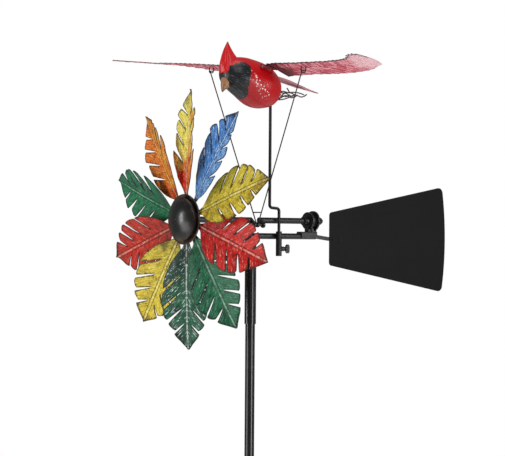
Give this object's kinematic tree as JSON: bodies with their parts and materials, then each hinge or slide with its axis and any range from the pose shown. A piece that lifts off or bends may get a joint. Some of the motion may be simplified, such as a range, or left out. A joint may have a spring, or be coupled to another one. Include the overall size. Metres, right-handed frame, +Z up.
{
  "type": "wind spinner",
  "caption": "Garden wind spinner: a red cardinal flaps its wings above a leaf propeller on a turning head with a tail vane, on a ground stake.",
  "frame": {"origin": "on the pole's axis at ground level, where the stake enters the soil", "axes": "+Z up the pole; the propeller faces -Y and the tail vane trails towards +Y; the bird's wings spread along X"},
  "size_m": [0.6498, 0.602, 1.612],
  "materials": {
    "black_paint": "satin",
    "cardinal_red": "gloss",
    "beak_tan": "satin",
    "steel": "satin",
    "yellow_leaf": "satin",
    "blue_leaf": "satin",
    "red_leaf": "satin",
    "green_leaf": "satin",
    "orange_leaf": "satin"
  },
  "bodies": {
    "pole": {"ground_spike": "black_paint", "side_prongs": "black_paint", "fork_socket": "black_paint", "pole_lower": "black_paint", "pole_upper": "black_paint", "pole_joint_screw": "steel", "pivot_plug": "black_paint"},
    "head": {"yaw_sleeve": "black_paint", "sleeve_cap": "black_paint", "frame_tube": "black_paint", "front_post": "black_paint", "front_bearing_tube": "black_paint", "rear_bearing_tube": "black_paint", "rear_housing": "black_paint", "bearing_flanges": "black_paint", "tube_collar": "black_paint", "head_screws": "steel", "vane_bar": "black_paint", "tail_vane": "black_paint", "vane_fasteners": "steel", "clamp_tube": "black_paint", "bird_support_rod": "black_paint", "rod_socket": "black_paint", "body_shell_left": "cardinal_red", "body_shell_right": "cardinal_red", "crest": "cardinal_red", "beak": "beak_tan", "tail_feathers": "cardinal_red", "feet": "black_paint", "wing_lugs": "black_paint", "hinge_pins": "steel"},
    "propeller": {"front_crankshaft": "steel", "rear_crankshaft": "steel", "shaft_washers": "steel", "rear_cap_nut": "black_paint", "hub_core": "black_paint", "hub_dish": "black_paint", "hub_cover_plate": "black_paint", "hub_dome": "black_paint", "hub_nut": "steel", "leaf_rivets": "steel", "leaf_01": "yellow_leaf", "leaf_02": "blue_leaf", "leaf_03": "yellow_leaf", "leaf_04": "red_leaf", "leaf_05": "green_leaf", "leaf_06": "green_leaf", "leaf_07": "yellow_leaf", "leaf_08": "red_leaf", "leaf_09": "green_leaf", "leaf_10": "orange_leaf"},
    "push_rods": {"crank_pin": "steel", "push_rod_left": "black_paint", "push_rod_right": "black_paint", "push_rod_crossbar": "black_paint"},
    "wing_left_body": {"wing_left": "cardinal_red", "rod_loop_left": "black_paint"},
    "wing_right_body": {"wing_right": "cardinal_red", "rod_loop_right": "black_paint"},
    "thumb_screw_body": {"thumb_screw": "black_paint"}
  },
  "joints": [
    {"name": "head_yaw", "type": "hinge", "parent": "pole", "child": "head", "pos_m": [0, 0, 1], "axis": [0, 0, 1], "continuous": true},
    {"name": "propeller_spin", "type": "hinge", "parent": "head", "child": "propeller", "pos_m": [0, 0, 1.08], "axis": [0, 1, 0], "continuous": true},
    {"name": "wing_left_flap", "type": "hinge", "parent": "head", "child": "wing_left_body", "pos_m": [-0.033, 0.013, 1.332], "axis": [0, 1, 0], "range_deg": [-2.9, 12.8]},
    {"name": "wing_right_flap", "type": "hinge", "parent": "head", "child": "wing_right_body", "pos_m": [0.033, 0.013, 1.332], "axis": [0, -1, 0], "range_deg": [-2.9, 12.8]},
    {"name": "push_rod_slide", "type": "slide", "parent": "head", "child": "push_rods", "axis": [0, 0, 1], "range_m": [-0.0045, 0.0195]},
    {"name": "thumb_screw_turn", "type": "hinge", "parent": "head", "child": "thumb_screw_body", "pos_m": [0.01, 0.06, 1.033], "axis": [0, 1, 0], "range_deg": [0, 360]}
  ],
  "couplings": [
    {"joint": "wing_right_flap", "follows": "wing_left_flap", "ratio": 1},
    {"joint": "push_rod_slide", "follows": "wing_left_flap", "m_per_rad": 0.086}
  ]
}
